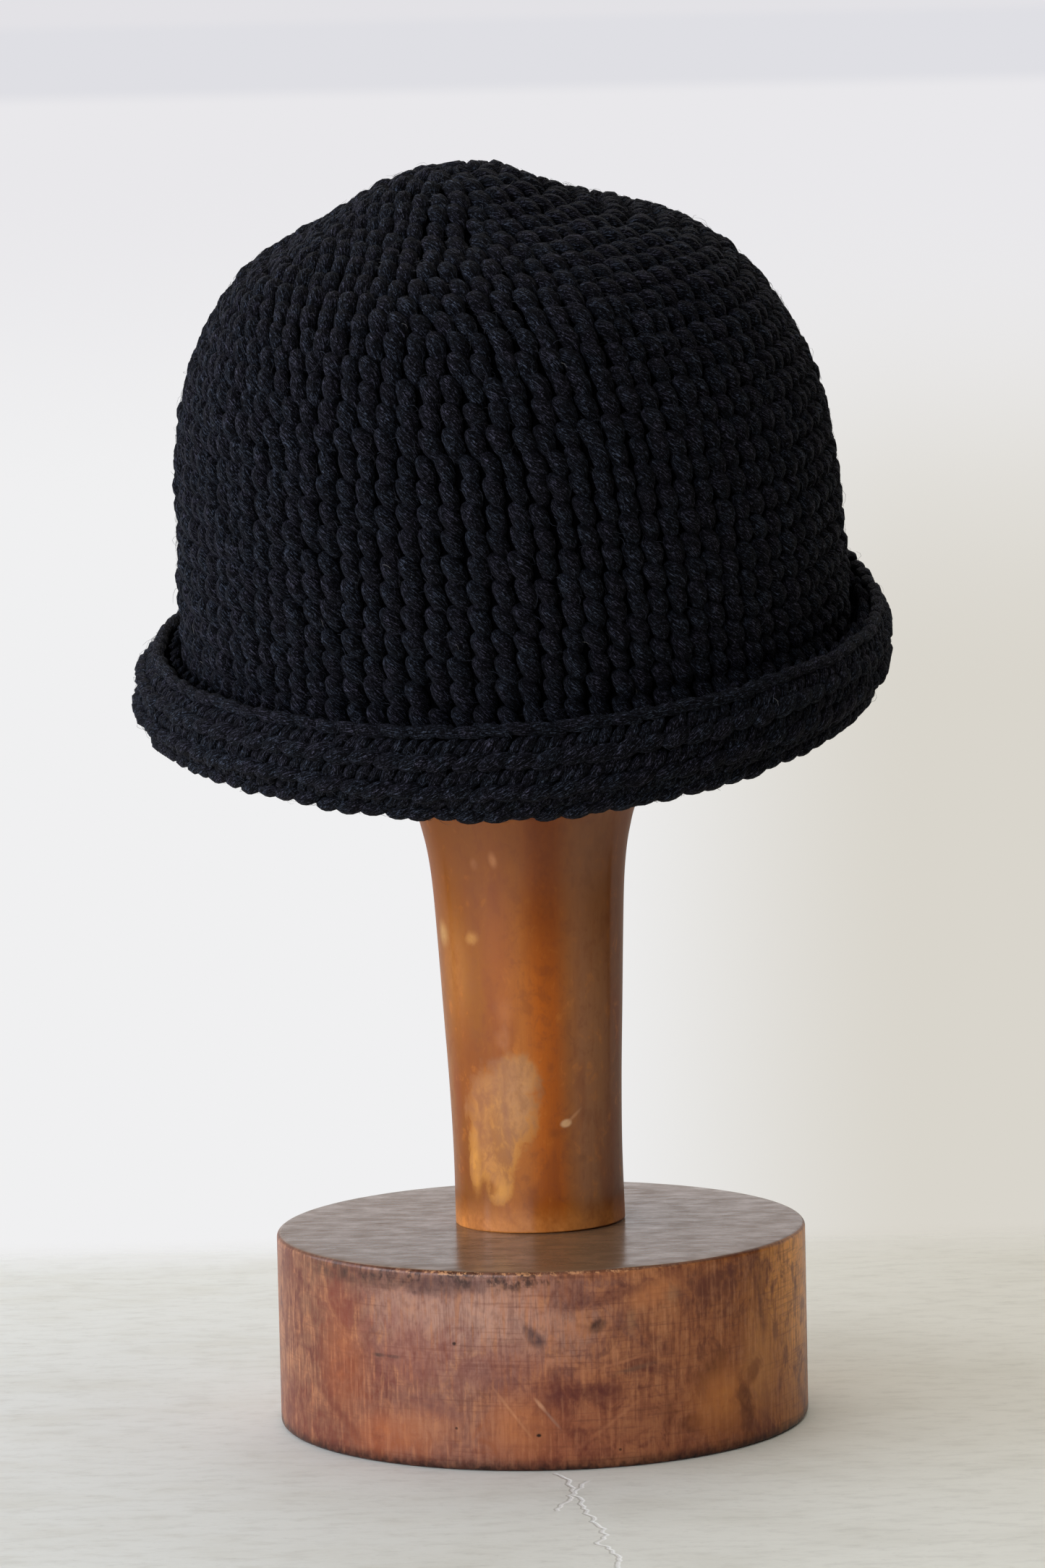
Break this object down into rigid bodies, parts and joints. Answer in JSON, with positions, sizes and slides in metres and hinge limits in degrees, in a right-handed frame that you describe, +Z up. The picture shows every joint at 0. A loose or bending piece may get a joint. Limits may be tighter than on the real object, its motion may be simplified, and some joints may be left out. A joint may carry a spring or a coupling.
{
  "type": "crocheted rolled-brim beanie on a turned wooden hat stand",
  "caption": "Chunky crocheted beanie with a rolled-up brim, tilted forward on a turned wooden stand with a round base.",
  "frame": {"origin": "middle of the stand's underside, where it rests on a table", "axes": "+Z up, -Y to the hat's front, where the brim is lowest, +X to the right as seen from the front"},
  "size_m": [0.2161, 0.2139, 0.3532],
  "materials": {
    "base_wood": "worn reddish-brown stain",
    "column_wood": "polished orange-brown stain",
    "dome_wood": "plain stain",
    "crown_yarn": "matte black wool yarn",
    "brim_yarn": "matte black wool yarn"
  },
  "bodies": {
    "root": {"stand_base": "base_wood", "stand_column": "column_wood", "stand_dome": "dome_wood", "crown": "crown_yarn", "brim": "brim_yarn"}
  },
  "joints": []
}
